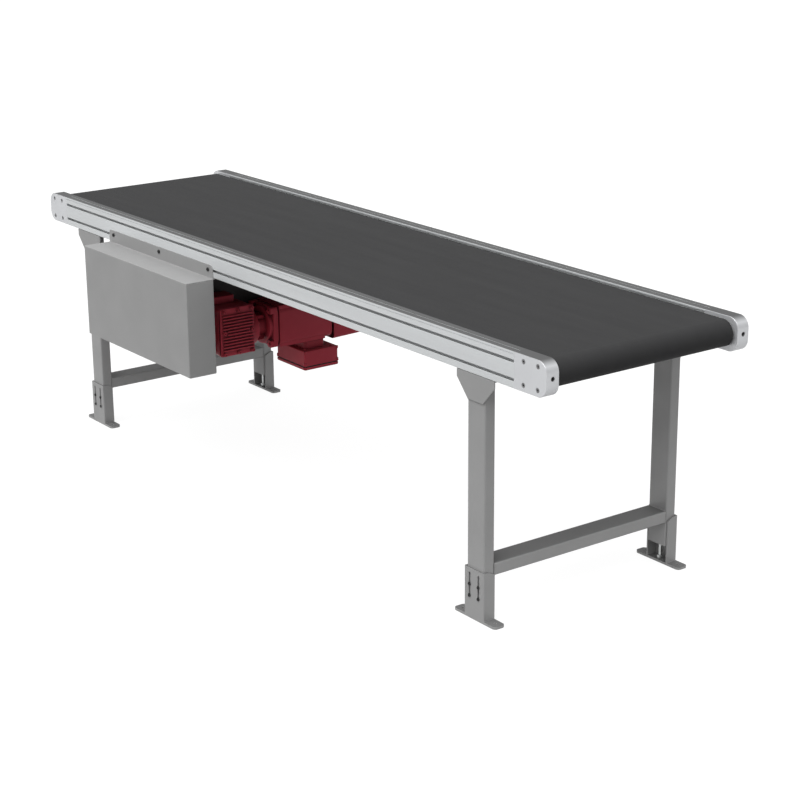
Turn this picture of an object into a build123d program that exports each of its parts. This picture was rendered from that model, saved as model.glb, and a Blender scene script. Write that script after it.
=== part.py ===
# Belt conveyor section, 3 m long, on two height-adjustable leg frames.
# Millimetres. +X along the belt, +Y across it to the far side, +Z up, origin on the floor at mid length.
import math
import os
from build123d import *

os.makedirs("parts", exist_ok=True)

# Overall frame
LENGTH = 3000.0
HALF_WIDTH = 395.0
TOP_Z = 876.0
PROFILE_WIDTH = 46.0
PROFILE_HEIGHT = 108.0
BLOCK_LENGTH = 140.0
BLOCK_CORNER = 37.0
BOTTOM_Z = TOP_Z - PROFILE_HEIGHT
MID_Z = TOP_Z - PROFILE_HEIGHT / 2
INNER_Y = HALF_WIDTH - PROFILE_WIDTH
PROFILE_MID_Y = HALF_WIDTH - PROFILE_WIDTH / 2
PROFILE_END_X = LENGTH / 2 - BLOCK_LENGTH

# T-slots, measured below the top of the profile
SLOT_DROPS = (27.7, 82.2)
SLOT_MOUTH = 8.2
SLOT_HEAD = 16.0
SLOT_LIP = 3.0
SLOT_DEPTH = 10.0

# Belt and end rollers
BELT_TOP_Z = 867.0
BELT_THICK = 3.0
BELT_HALF = 340.0
END_RADIUS = 39.0
END_X = 1448.0
END_Z = BELT_TOP_Z - BELT_THICK - END_RADIUS
RETURN_TOP_Z = END_Z - END_RADIUS
RETURN_LOW_Z = RETURN_TOP_Z - BELT_THICK
ROLLER_GAP = 0.3
FACE_HALF = 336.0
AXLE_RADIUS = 10.0
RUN_GAP = 0.05

# Drive station
DRUM_X = -880.0
DRUM_Z = 690.0
DRUM_RADIUS = 60.0
SNUB_RADIUS = 25.0
SNUB_OFFSET = DRUM_RADIUS + BELT_THICK + SNUB_RADIUS
SNUB_Z = RETURN_LOW_Z - SNUB_RADIUS
DRUM_SHAFT_RADIUS = 15.0
PLATE_THICK = 6.0

# Return roller
RETURN_X = 420.0
RETURN_RADIUS = 20.0
RETURN_Z = RETURN_LOW_Z - RETURN_RADIUS

# Gearmotor, its axis across the belt
MOTOR_X = -415.0
MOTOR_Z = 524.0
OUTPUT_RADIUS = 12.5

# Toothed-belt drive inside the guard
PULLEY_TEETH = 32
PULLEY_RADIUS = 40.0
PULLEY_NEAR_Y = -438.0
PULLEY_FAR_Y = -408.0
DRIVE_BELT_THICK = 4.0

# Guard
GUARD_X = (-1014.0, -266.0)
GUARD_Z = (424.0, 763.5)
GUARD_FRONT_Y = -505.0
GUARD_SHEET = 2.0
FLANGE_TOP_Z = 811.0
GUARD_BOLT_X = (-981.0, -639.0, -297.0)

# Leg frames
LEG_X = 1187.0
LEG_WIDE = 80.0
LEG_DEEP = 40.0
LEG_WALL = 3.0
LEG_OUTER_Y = 391.0
LEG_LOW_Z = 64.0
HEAD_PLATE = 5.0
BRACKET_THICK = 4.0
CROSS_BAR_TOP_Z = 184.0
CROSS_BAR_HEIGHT = 40.0

# Feet
FOOT_OUTER_Y = 396.5
FOOT_INNER_Y = 354.5
FOOT_WIDE = 93.0
FOOT_WALL = 5.0
FOOT_TOP_Z = 162.0
BASE_LONG = 198.0
BASE_THICK = 8.0
ANCHOR_X = 75.0
ANCHOR_RADIUS = 5.5
SLOT_X = 21.0
CLAMP_Z = (73.0, 110.0)
SPINDLE_RADIUS = 6.0


def block(x0, x1, y0, y1, z0, z1):
    """Box between two corners."""
    centre = Pos((x0 + x1) / 2, (y0 + y1) / 2, (z0 + z1) / 2)
    return centre * Box(abs(x1 - x0), abs(y1 - y0), abs(z1 - z0))


def rod_y(x, z, radius, y0, y1):
    """Cylinder lying across the belt."""
    return Pos(x, (y0 + y1) / 2, z) * Rot(90, 0, 0) * Cylinder(radius, abs(y1 - y0))


def rod_x(y, z, radius, x0, x1):
    """Cylinder lying along the belt."""
    return Pos((x0 + x1) / 2, y, z) * Rot(0, 90, 0) * Cylinder(radius, abs(x1 - x0))


def rod_z(x, y, radius, z0, z1):
    """Upright cylinder."""
    return Pos(x, y, (z0 + z1) / 2) * Cylinder(radius, abs(z1 - z0))


def plate_xz(points, y0, y1):
    """Flat plate drawn in X and Z and given its thickness along Y."""
    face = make_face(Polyline([(x, 0, z) for x, z in points], close=True))
    return Pos(0, max(y0, y1), 0) * extrude(face, abs(y1 - y0), dir=(0, -1, 0))


def save(name, shape):
    """Write one sub-part."""
    export_step(Compound(children=[s for s in as_solids(shape)]), f"parts/{name}.step")


def as_solids(shape):
    """All solids of a shape or of a list of shapes."""
    if isinstance(shape, (list, tuple)):
        return [solid for one in shape for solid in as_solids(one)]
    return list(shape.solids())


def cap_screw(head_radius, head_high, shank_radius, shank_long, socket_radius):
    """Socket-head screw on the Z axis, its head above z = 0."""
    head = Pos(0, 0, head_high / 2) * Cylinder(head_radius, head_high)
    shank = Pos(0, 0, -shank_long / 2) * Cylinder(shank_radius, shank_long)
    socket = extrude(RegularPolygon(socket_radius, 6), head_high * 0.6)
    return head + shank - Pos(0, 0, head_high * 0.4) * socket


def button_screw(head_radius, head_high, shank_radius, shank_long, socket_radius):
    """Domed socket screw on the Z axis, its head above z = 0."""
    screw = cap_screw(head_radius, head_high, shank_radius, shank_long, socket_radius)
    rim = screw.edges().filter_by(GeomType.CIRCLE).filter_by(lambda e: abs(e.radius - head_radius) < 0.01)
    return fillet(rim.sort_by(Axis.Z)[-1:], head_high * 0.55)


# Side profiles: hollow extrusions with two T-slots outside and one below
def profile_section():
    """Section with u from the outer face inwards and v up from the bottom."""
    outline = Pos(PROFILE_WIDTH / 2, PROFILE_HEIGHT / 2) * RectangleRounded(PROFILE_WIDTH, PROFILE_HEIGHT, 2)
    upper_room = Pos(28, 78.5) * RectangleRounded(22, 47, 2)
    lower_room = Pos(28, 33) * RectangleRounded(22, 36, 2)
    section = outline - upper_room - lower_room
    for drop in SLOT_DROPS:
        v = PROFILE_HEIGHT - drop
        section -= Pos(SLOT_LIP / 2, v) * Rectangle(SLOT_LIP, SLOT_MOUTH)
        section -= Pos((SLOT_LIP + SLOT_DEPTH) / 2, v) * Rectangle(SLOT_DEPTH - SLOT_LIP, SLOT_HEAD)
    section -= Pos(PROFILE_WIDTH / 2, SLOT_LIP / 2) * Rectangle(SLOT_MOUTH, SLOT_LIP)
    section -= Pos(PROFILE_WIDTH / 2, (SLOT_LIP + SLOT_DEPTH) / 2) * Rectangle(SLOT_HEAD, SLOT_DEPTH - SLOT_LIP)
    section -= Pos(22, PROFILE_HEIGHT - 0.6) * Rectangle(1.6, 1.2)
    section -= Pos(0.4, PROFILE_HEIGHT - 7) * Rectangle(0.8, 1.2)
    section -= Pos(PROFILE_WIDTH - 2.25, 95) * Rectangle(4.5, 14)
    return section


def side_profile(side):
    """Profile on the near side (-1) or the far side (+1)."""
    section = profile_section()
    bar = extrude(Plane.YZ * section, 2 * PROFILE_END_X)
    bar = Pos(-PROFILE_END_X, -HALF_WIDTH, BOTTOM_Z) * bar
    if side > 0:
        bar = mirror(bar, Plane.XZ)
    return bar


for side, word in ((-1, "near"), (1, "far")):
    save(f"side_profile_{word}", side_profile(side))


# End blocks: they close the profiles and carry the end rollers' axles
SCREW_FROM_END = (37.0, 98.5)
SCREW_RISE = 34.4


def end_block(end, side):
    """Block at the right (+1) or left (-1) end, near (-1) or far (+1) side."""
    x_end = LENGTH / 2
    body = block(PROFILE_END_X, x_end, -HALF_WIDTH, -INNER_Y, BOTTOM_Z, TOP_Z)
    corners = body.edges().filter_by(Axis.Y).group_by(Axis.X)[-1]
    body = fillet(corners, BLOCK_CORNER)
    rims = body.faces().filter_by(Axis.Y).edges().filter_by(lambda e: e.center().X > PROFILE_END_X + 1)
    body = chamfer(rims, 1.2)
    tongue_y = -HALF_WIDTH + 28
    body += block(PROFILE_END_X - 45, PROFILE_END_X, tongue_y - 10.5, tongue_y + 10.5, 825.5, 867)
    for step in SCREW_FROM_END:
        for rise in (-SCREW_RISE, SCREW_RISE):
            body -= rod_y(x_end - step, MID_Z + rise, 7.6, -HALF_WIDTH - 1, -HALF_WIDTH + 8.5)
            body -= rod_y(x_end - step, MID_Z + rise, 4.5, -HALF_WIDTH, -INNER_Y - 10)
    if end > 0:
        slot_low = END_Z - AXLE_RADIUS - RUN_GAP
        slot_high = END_Z + AXLE_RADIUS + RUN_GAP
        body -= block(END_X - 24, END_X + 12, -INNER_Y - 34, -INNER_Y + 1, slot_low, slot_high)
        body -= rod_x(-PROFILE_MID_Y, END_Z, 4.1, END_X - 30, x_end + 1)
        body -= rod_x(-PROFILE_MID_Y, END_Z, 7.1, x_end - 10, x_end + 1)
    else:
        body -= rod_y(END_X, END_Z, AXLE_RADIUS, -INNER_Y - 34, -INNER_Y + 1)
        body -= rod_x(-PROFILE_MID_Y, END_Z, 4.1, END_X, x_end + 1)
        body -= rod_x(-PROFILE_MID_Y, END_Z, 7.1, x_end - 10, x_end + 1)
    if end < 0:
        body = mirror(body, Plane.YZ)
    if side > 0:
        body = mirror(body, Plane.XZ)
    return body


for end, end_word in ((1, "right"), (-1, "left")):
    for side, side_word in ((-1, "near"), (1, "far")):
        save(f"end_block_{side_word}_{end_word}", end_block(end, side))

screws = []
for end in (-1, 1):
    for side in (-1, 1):
        for step in SCREW_FROM_END:
            for rise in (-SCREW_RISE, SCREW_RISE):
                screw = Rot(-90 * side, 0, 0) * cap_screw(7, 8, 4.4, 22, 3.6)
                place = Pos(end * (LENGTH / 2 - step), side * (HALF_WIDTH - 8.5), MID_Z + rise)
                screws.append(place * screw)
save("end_block_screws", screws)

# Slider bed and the cross members below it
BED_TOP_Z = BELT_TOP_Z - BELT_THICK - ROLLER_GAP
BED_THICK = 2.7
BED_HALF_LONG = 1395.0
bed = block(-BED_HALF_LONG, BED_HALF_LONG, -352.5, 352.5, BED_TOP_Z - BED_THICK, BED_TOP_Z)
for end in (-1, 1):
    for side in (-1, 1):
        bed -= block(end * (PROFILE_END_X - 1), end * 1500, side * 346, side * 360, 850, 870)
    lip_x = end * (BED_HALF_LONG - 1.5)
    bed += block(lip_x - 1.5, lip_x + 1.5, -344, 344, BED_TOP_Z - 16, BED_TOP_Z - BED_THICK)
save("slider_bed", bed)

CROSS_MEMBER_X = (-1290.0, -640.0, 0.0, 640.0, 1290.0)
members = []
for x in CROSS_MEMBER_X:
    tube = block(x - 25, x + 25, -344, 344, 806, BED_TOP_Z - BED_THICK)
    tube -= block(x - 22, x + 22, -350, 350, 809, BED_TOP_Z - BED_THICK - 3)
    for side in (-1, 1):
        tube += block(x - 45, x + 45, side * 344, side * INNER_Y, 800, 854)
        for dx in (-35, 35):
            tube -= rod_y(x + dx, 827, 4.4, side * 340, side * 360)
    members.append(tube)
save("cross_members", members)


# Belt: one closed band round the end rollers, dipping round the drive drum
def belt_loop(offset):
    """Closed outline of the belt's path, offset outwards from its inner face."""
    top = BELT_TOP_Z - BELT_THICK + offset
    low = RETURN_TOP_Z - offset
    end_r = END_RADIUS + offset
    snub_r = SNUB_RADIUS + BELT_THICK - offset
    drum_r = DRUM_RADIUS + offset
    left_snub = DRUM_X - SNUB_OFFSET
    right_snub = DRUM_X + SNUB_OFFSET
    half = math.sqrt(0.5)
    pieces = [
        Line((-END_X, top), (END_X, top)),
        ThreePointArc((END_X, top), (END_X + end_r, END_Z), (END_X, low)),
        Line((END_X, low), (right_snub, low)),
        ThreePointArc((right_snub, low), (right_snub - snub_r * half, SNUB_Z + snub_r * half),
                      (right_snub - snub_r, SNUB_Z)),
        Line((right_snub - snub_r, SNUB_Z), (DRUM_X + drum_r, DRUM_Z)),
        ThreePointArc((DRUM_X + drum_r, DRUM_Z), (DRUM_X, DRUM_Z - drum_r), (DRUM_X - drum_r, DRUM_Z)),
        Line((DRUM_X - drum_r, DRUM_Z), (left_snub + snub_r, SNUB_Z)),
        ThreePointArc((left_snub + snub_r, SNUB_Z), (left_snub + snub_r * half, SNUB_Z + snub_r * half),
                      (left_snub, low)),
        Line((left_snub, low), (-END_X, low)),
        ThreePointArc((-END_X, low), (-END_X - end_r, END_Z), (-END_X, top)),
    ]
    return make_face(pieces)


belt_section = belt_loop(BELT_THICK) - belt_loop(0)
belt = extrude(Rot(90, 0, 0) * belt_section, BELT_HALF, both=True)
save("conveyor_belt", belt)


# End rollers: a tube with bearing ends that runs on a fixed axle
def end_roller(x):
    """Hollow shell closed by two bored bearing ends."""
    radius = END_RADIUS - ROLLER_GAP
    shell = rod_y(x, END_Z, radius, -FACE_HALF, FACE_HALF)
    shell -= rod_y(x, END_Z, radius - 4, -FACE_HALF - 1, FACE_HALF + 1)
    for side in (-1, 1):
        shell += rod_y(x, END_Z, radius - 4, side * (FACE_HALF - 20), side * (FACE_HALF - 3))
        shell -= rod_y(x, END_Z, 24, side * (FACE_HALF - 5), side * (FACE_HALF + 1))
        shell += rod_y(x, END_Z, 21, side * (FACE_HALF - 20), side * (FACE_HALF - 3.5))
    shell -= rod_y(x, END_Z, AXLE_RADIUS + RUN_GAP, -FACE_HALF - 1, FACE_HALF + 1)
    return shell


save("tail_roller", end_roller(END_X))
save("head_roller", end_roller(-END_X))

AXLE_HALF = INNER_Y + 33.0
tail_axle = rod_y(END_X, END_Z, AXLE_RADIUS, -AXLE_HALF, AXLE_HALF)
for side in (-1, 1):
    tail_axle -= rod_x(side * PROFILE_MID_Y, END_Z, 4.1, END_X - 15, END_X + 15)
save("tail_axle", tail_axle)
save("head_axle", rod_y(-END_X, END_Z, AXLE_RADIUS, -AXLE_HALF, AXLE_HALF))

for side, word in ((-1, "near"), (1, "far")):
    screw = Rot(0, 90, 0) * cap_screw(6.5, 8, 4, 70, 3.6)
    save(f"take_up_screw_{word}", Pos(LENGTH / 2 - 9.9, side * PROFILE_MID_Y, END_Z) * screw)


# Drive station: two plates carry the drum and the snub rollers
def drive_plate(side):
    """Steel plate against the inner face of one profile."""
    left = DRUM_X - 130
    right = DRUM_X + 130
    points = [(left, 850), (right, 850), (right, 700), (right - 60, 615), (left + 60, 615), (left, 700)]
    inner = side * (INNER_Y - PLATE_THICK)
    plate = plate_xz(points, inner, side * INNER_Y)
    plate -= rod_y(DRUM_X, DRUM_Z, DRUM_SHAFT_RADIUS + 6, side * 300, side * 400)
    for offset in (-SNUB_OFFSET, SNUB_OFFSET):
        plate -= rod_y(DRUM_X + offset, SNUB_Z, 8 + RUN_GAP, side * 300, side * 400)
    for dx in (-110, 110):
        for z in (812, 836):
            plate -= rod_y(DRUM_X + dx, z, 4.4, side * 300, side * 400)
    if side < 0:
        for x in (left + 12, right - 12):
            for z in (712, 748):
                spacer = rod_y(x, z, 8, -INNER_Y, -HALF_WIDTH + 0.2)
                plate += spacer - rod_y(x, z, 3.4, -INNER_Y - 20, -HALF_WIDTH)
    return plate


save("drive_plate_near", drive_plate(-1))
save("drive_plate_far", drive_plate(1))

bearings = []
for side in (-1, 1):
    face = side * INNER_Y
    flange = plate_xz([(DRUM_X - 38, DRUM_Z - 38), (DRUM_X + 38, DRUM_Z - 38), (DRUM_X + 38, DRUM_Z + 38),
                       (DRUM_X - 38, DRUM_Z + 38)], face, face + side * 10)
    flange = fillet(flange.edges().filter_by(Axis.Y), 10)
    flange += rod_y(DRUM_X, DRUM_Z, 28, face, face + side * 24)
    flange -= rod_y(DRUM_X, DRUM_Z, DRUM_SHAFT_RADIUS + RUN_GAP, side * 300, side * 400)
    for dx in (-28, 28):
        for dz in (-28, 28):
            flange += rod_y(DRUM_X + dx, DRUM_Z + dz, 6.5, face + side * 10, face + side * 15)
    bearings.append(flange)
save("drum_bearings", bearings)

drum = rod_y(DRUM_X, DRUM_Z, 56, -FACE_HALF, FACE_HALF)
drum -= rod_y(DRUM_X, DRUM_Z, 50, -FACE_HALF - 1, FACE_HALF + 1)
for side in (-1, 1):
    drum += rod_y(DRUM_X, DRUM_Z, 50, side * (FACE_HALF - 14), side * (FACE_HALF - 4))
    drum += rod_y(DRUM_X, DRUM_Z, 26, side * (FACE_HALF - 24), side * (FACE_HALF - 1))
drum -= rod_y(DRUM_X, DRUM_Z, DRUM_SHAFT_RADIUS, -FACE_HALF - 1, FACE_HALF + 1)
save("drive_drum", drum)

lagging = rod_y(DRUM_X, DRUM_Z, DRUM_RADIUS - ROLLER_GAP, -FACE_HALF, FACE_HALF)
lagging -= rod_y(DRUM_X, DRUM_Z, 56, -FACE_HALF - 1, FACE_HALF + 1)
save("drum_lagging", lagging)
save("drum_shaft", rod_y(DRUM_X, DRUM_Z, DRUM_SHAFT_RADIUS, PULLEY_NEAR_Y - 6, 384))


def idler(x, z, radius, gap):
    """Roller with stub journals that turn in plates at both sides."""
    roller = rod_y(x, z, radius - gap, -FACE_HALF, FACE_HALF)
    return roller + rod_y(x, z, 8, -INNER_Y + 0.3, INNER_Y - 0.3)


save("snub_roller_left", idler(DRUM_X - SNUB_OFFSET, SNUB_Z, SNUB_RADIUS, ROLLER_GAP))
save("snub_roller_right", idler(DRUM_X + SNUB_OFFSET, SNUB_Z, SNUB_RADIUS, ROLLER_GAP))
save("return_roller", idler(RETURN_X, RETURN_Z, RETURN_RADIUS, ROLLER_GAP))

hangers = []
for side in (-1, 1):
    points = [(RETURN_X - 30, 846), (RETURN_X + 30, 846), (RETURN_X + 30, 770), (RETURN_X + 16, 748),
              (RETURN_X - 16, 748), (RETURN_X - 30, 770)]
    hanger = plate_xz(points, side * (INNER_Y - PLATE_THICK), side * INNER_Y)
    hanger -= rod_y(RETURN_X, RETURN_Z, 8 + RUN_GAP, side * 300, side * 400)
    for z in (806, 832):
        hanger += rod_y(RETURN_X, z, 6, side * (INNER_Y - PLATE_THICK - 2), side * (INNER_Y - PLATE_THICK))
    hangers.append(hanger)
save("return_roller_hangers", hangers)


# Toothed-belt drive from the gearmotor up to the drum
def pulley(x, z, bore):
    """Toothed pulley with two rims and a hub."""
    near = PULLEY_NEAR_Y
    far = PULLEY_FAR_Y
    wheel = rod_y(x, z, PULLEY_RADIUS, near, far)
    for index in range(PULLEY_TEETH):
        angle = 2 * math.pi * (index + 0.5) / PULLEY_TEETH
        gx = x + (PULLEY_RADIUS + 0.6) * math.cos(angle)
        gz = z + (PULLEY_RADIUS + 0.6) * math.sin(angle)
        wheel -= rod_y(gx, gz, 2.4, near - 1, far + 1)
    for edge in (near, far - 1.5):
        wheel += rod_y(x, z, PULLEY_RADIUS + 4, edge, edge + 1.5)
    wheel += rod_y(x, z, 24, far, far + 8)
    return wheel - rod_y(x, z, bore, near - 1, far + 9)


save("driven_pulley", pulley(DRUM_X, DRUM_Z, DRUM_SHAFT_RADIUS))
save("drive_pulley", pulley(MOTOR_X, MOTOR_Z, OUTPUT_RADIUS))

run = math.hypot(MOTOR_X - DRUM_X, MOTOR_Z - DRUM_Z)
slope = math.degrees(math.atan2(MOTOR_Z - DRUM_Z, MOTOR_X - DRUM_X))
inside = PULLEY_RADIUS + 0.4
outside = inside + DRIVE_BELT_THICK
band = SlotCenterToCenter(run, 2 * outside) - SlotCenterToCenter(run, 2 * inside)
band = extrude(Rot(90, 0, 0) * band, 12.5, both=True)
band = Pos((MOTOR_X + DRUM_X) / 2, (PULLEY_NEAR_Y + PULLEY_FAR_Y) / 2, (MOTOR_Z + DRUM_Z) / 2) * Rot(0, -slope, 0) * band
save("drive_belt", band)

# Guard: folded cover with a flange on the profile, and its back plate
x0, x1 = GUARD_X
z0, z1 = GUARD_Z
cover = block(x0, x1, GUARD_FRONT_Y, -HALF_WIDTH - GUARD_SHEET, z0, z1)
long_edges = cover.edges().filter_by(lambda e: abs(e.center().Y - GUARD_FRONT_Y) < 0.1)
cover = fillet(long_edges, 2.5)
cover -= block(x0 + GUARD_SHEET, x1 - GUARD_SHEET, GUARD_FRONT_Y + GUARD_SHEET, -300, z0 + GUARD_SHEET, z1 - GUARD_SHEET)
flange_points = [(x0 + 3, z1 - GUARD_SHEET), (x1 - 3, z1 - GUARD_SHEET), (x1 - 3, FLANGE_TOP_Z), (x0 + 3, FLANGE_TOP_Z)]
flange = plate_xz(flange_points, -HALF_WIDTH, -HALF_WIDTH - GUARD_SHEET)
tops = flange.edges().filter_by(Axis.Y).group_by(Axis.Z)[-1]
flange = fillet(tops, 14)
cover += flange
GUARD_BOLT_Z = TOP_Z - SLOT_DROPS[1]
for x in GUARD_BOLT_X:
    cover -= rod_y(x, GUARD_BOLT_Z, 4.4, -HALF_WIDTH + 1, -HALF_WIDTH - 5)
save("guard_cover", cover)

back = block(x0 + 2.5, x1 - 2.5, -HALF_WIDTH - 2, -HALF_WIDTH, z0 + 2.5, z1 - 2.5)
for side_x, inward in ((x0 + 2.5, 1), (x1 - 2.5, -1)):
    back += block(side_x, side_x + inward * 2, -HALF_WIDTH - 20, -HALF_WIDTH - 2, z0 + 2.5, z1 - 2.5)
back -= rod_y(DRUM_X, DRUM_Z, 32, -HALF_WIDTH - 5, -HALF_WIDTH + 5)
back -= rod_y(MOTOR_X, MOTOR_Z, 45, -HALF_WIDTH - 5, -HALF_WIDTH + 5)
for x in (DRUM_X - 118, DRUM_X + 118):
    for z in (712, 748):
        back -= rod_y(x, z, 3.4, -HALF_WIDTH - 5, -HALF_WIDTH + 5)
save("guard_back_plate", back)

bolts = []
for x in GUARD_BOLT_X:
    screw = Rot(90, 0, 0) * button_screw(7, 4.4, 4, 11.5, 2.9)
    bolts.append(Pos(x, -HALF_WIDTH - GUARD_SHEET, GUARD_BOLT_Z) * screw)
    nut = block(x - 10, x + 10, -HALF_WIDTH + 3.2, -HALF_WIDTH + 9.5, GUARD_BOLT_Z - 7, GUARD_BOLT_Z + 7)
    bolts.append(nut - rod_y(x, GUARD_BOLT_Z, 4, -HALF_WIDTH, -HALF_WIDTH + 12))
LEG_BOLT_DX = (-62.0, 62.0)
for leg in (-LEG_X, LEG_X):
    for side in (-1, 1):
        for dx in LEG_BOLT_DX:
            screw = Rot(180, 0, 0) * button_screw(7, 4.4, 4, 14, 2.9)
            bolts.append(Pos(leg + dx, side * PROFILE_MID_Y, BOTTOM_Z - HEAD_PLATE) * screw)
            nut = block(leg + dx - 10, leg + dx + 10, side * PROFILE_MID_Y - 7, side * PROFILE_MID_Y + 7,
                        BOTTOM_Z + 3.2, BOTTOM_Z + 9.5)
            bolts.append(nut - rod_z(leg + dx, side * PROFILE_MID_Y, 4, BOTTOM_Z, BOTTOM_Z + 12))
save("slot_bolts", bolts)

# Gearmotor
GEAR_X = (-492.0, -341.0)
GEAR_Y = (-335.0, -190.0)
GEAR_Z = (453.0, 627.0)
WEB_FRONT_X = -500.0
housing = block(*GEAR_X, *GEAR_Y, *GEAR_Z)
housing = fillet(housing.edges().filter_by(Axis.X), 9)
housing -= block(GEAR_X[0] + 8, GEAR_X[1] + 1, GEAR_Y[0] + 10, GEAR_Y[1] - 10, GEAR_Z[0] + 10, GEAR_Z[1] - 10)
housing += rod_y(MOTOR_X, MOTOR_Z, 56, GEAR_Y[0] - 8, GEAR_Y[0] + 10)
housing += rod_y(MOTOR_X, MOTOR_Z, 40, GEAR_Y[0] - 34, GEAR_Y[0] - 8)
housing += block(GEAR_X[0] + 4, MOTOR_X, -322, -222, GEAR_Z[1] - 4, GEAR_Z[1] + 26)
for y in (-306, -219):
    for z in (482, 598):
        housing += block(WEB_FRONT_X, GEAR_X[0] + 4, y - 13, y + 13, z - 13, z + 13)
housing -= rod_y(MOTOR_X, MOTOR_Z, OUTPUT_RADIUS + RUN_GAP, -400, -300)
save("gear_housing", housing)

gear_cover = block(GEAR_X[1], GEAR_X[1] + 5, GEAR_Y[0] + 8, GEAR_Y[1] - 5, GEAR_Z[0], GEAR_Z[1])
gear_cover = fillet(gear_cover.edges().filter_by(Axis.X), 10)
RIB_COUNT = 12
for index in range(RIB_COUNT):
    z = GEAR_Z[0] + 20 + index * 11.4
    gear_cover += block(GEAR_X[1] + 5, GEAR_X[1] + 14, GEAR_Y[0] + 11, GEAR_Y[1] - 8, z, z + 5.2)
EDGE_SCREWS = [(y, z) for y in (-318, -259, -203) for z in (461.5, 618.5)]
SIDE_SCREWS = [(-318, 540), (-203, 540)]
COVER_SCREWS = EDGE_SCREWS + SIDE_SCREWS
for y, z in SIDE_SCREWS:
    gear_cover -= rod_x(y, z, 9, GEAR_X[1] + 5, GEAR_X[1] + 20)
for y, z in COVER_SCREWS:
    gear_cover += rod_x(y, z, 7.4, GEAR_X[1] + 4, GEAR_X[1] + 11)
    gear_cover -= rod_x(y, z, 4, GEAR_X[1] - 5, GEAR_X[1] + 20)
save("gear_cover", gear_cover)

screws = []
for y, z in COVER_SCREWS:
    screw = Rot(0, 90, 0) * cap_screw(5.5, 5.5, 3.9, 10.9, 2.8)
    screws.append(Pos(GEAR_X[1] + 11, y, z) * screw)
save("gear_cover_screws", screws)

adaptor = rod_y(MOTOR_X, MOTOR_Z, 66, -190, -160) + rod_y(MOTOR_X, MOTOR_Z, 44, -160, -120)
adaptor -= rod_y(MOTOR_X, MOTOR_Z, 30, -191, -119)
for index in range(8):
    angle = math.radians(22.5 + 45 * index)
    bx = MOTOR_X + 59 * math.cos(angle)
    bz = MOTOR_Z + 59 * math.sin(angle)
    adaptor += rod_y(bx, bz, 5, -160, -155)
save("motor_adaptor", adaptor)

FLANGE_LUGS = [(sx * 62, sz * 62) for sx in (-1, 1) for sz in (-1, 1)]
shield = block(MOTOR_X - 74, MOTOR_X + 74, -106, -84, MOTOR_Z - 74, MOTOR_Z + 74)
shield = fillet(shield.edges().filter_by(Axis.Y), 26)
shield += rod_y(MOTOR_X, MOTOR_Z, 70, -120, -106)
for dx, dz in FLANGE_LUGS:
    shield += rod_y(MOTOR_X + dx, MOTOR_Z + dz, 13, -120, -90)
shield -= rod_y(MOTOR_X, MOTOR_Z, 30, -121, -83)
save("motor_flange", shield)

barrel = block(MOTOR_X - 78, MOTOR_X + 78, -84, 145, MOTOR_Z - 76, MOTOR_Z + 76)
barrel = fillet(barrel.edges().filter_by(Axis.Y), 26)
for ledge_z in (MOTOR_Z - 78, MOTOR_Z + 62):
    barrel += block(MOTOR_X - 74, MOTOR_X + 74, -84, 118, ledge_z, ledge_z + 16)
barrel -= rod_y(MOTOR_X, MOTOR_Z, 60, -85, 146)
NECK = (MOTOR_X - 62, MOTOR_X + 62, 34, 122)
neck = block(*NECK, 415, MOTOR_Z - 60)
barrel += neck - rod_y(MOTOR_X, MOTOR_Z, 61, 0, 160)
barrel -= block(NECK[0] + 8, NECK[1] - 8, NECK[2] + 8, NECK[3] - 8, 410, MOTOR_Z - 40)
save("motor_housing", barrel)

ring = rod_y(MOTOR_X, MOTOR_Z, 68, 145, 157) - rod_y(MOTOR_X, MOTOR_Z, 20, 144, 158)
save("motor_end_shield", ring)

cowl_front = Plane.XZ.offset(-157) * Pos(MOTOR_X, MOTOR_Z) * RectangleRounded(148, 176, 14)
cowl_back = Plane.XZ.offset(-300) * Pos(MOTOR_X, MOTOR_Z) * RectangleRounded(142, 170, 14)
cowl = loft([cowl_front, cowl_back])
hollow_front = Plane.XZ.offset(-156) * Pos(MOTOR_X, MOTOR_Z) * RectangleRounded(143, 171, 12)
hollow_back = Plane.XZ.offset(-297) * Pos(MOTOR_X, MOTOR_Z) * RectangleRounded(137, 165, 12)
cowl -= loft([hollow_front, hollow_back])
for ring_index in range(5):
    radius = 12 + 9 * ring_index
    slots = rod_y(MOTOR_X, MOTOR_Z, radius + 4, 290, 305) - rod_y(MOTOR_X, MOTOR_Z, radius, 280, 310)
    slots -= block(MOTOR_X - 60, MOTOR_X + 60, 280, 310, MOTOR_Z - 2.5, MOTOR_Z + 2.5)
    slots -= block(MOTOR_X - 2.5, MOTOR_X + 2.5, 280, 310, MOTOR_Z - 60, MOTOR_Z + 60)
    cowl -= slots
save("fan_cowl", cowl)

rotor = rod_y(MOTOR_X, MOTOR_Z, 19.7, -118, 250)
rotor += rod_y(MOTOR_X, MOTOR_Z, 50, -60, 130)
rotor += rod_y(MOTOR_X, MOTOR_Z, 28, 200, 240)
for index in range(6):
    blade = block(MOTOR_X + 20, MOTOR_X + 52, 200, 236, MOTOR_Z - 1.5, MOTOR_Z + 1.5)
    rotor += Pos(MOTOR_X, 0, MOTOR_Z) * Rot(0, 60 * index, 0) * Pos(-MOTOR_X, 0, -MOTOR_Z) * blade
save("motor_rotor", rotor)

save("output_shaft", rod_y(MOTOR_X, MOTOR_Z, OUTPUT_RADIUS, PULLEY_NEAR_Y - 5, -240))

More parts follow.
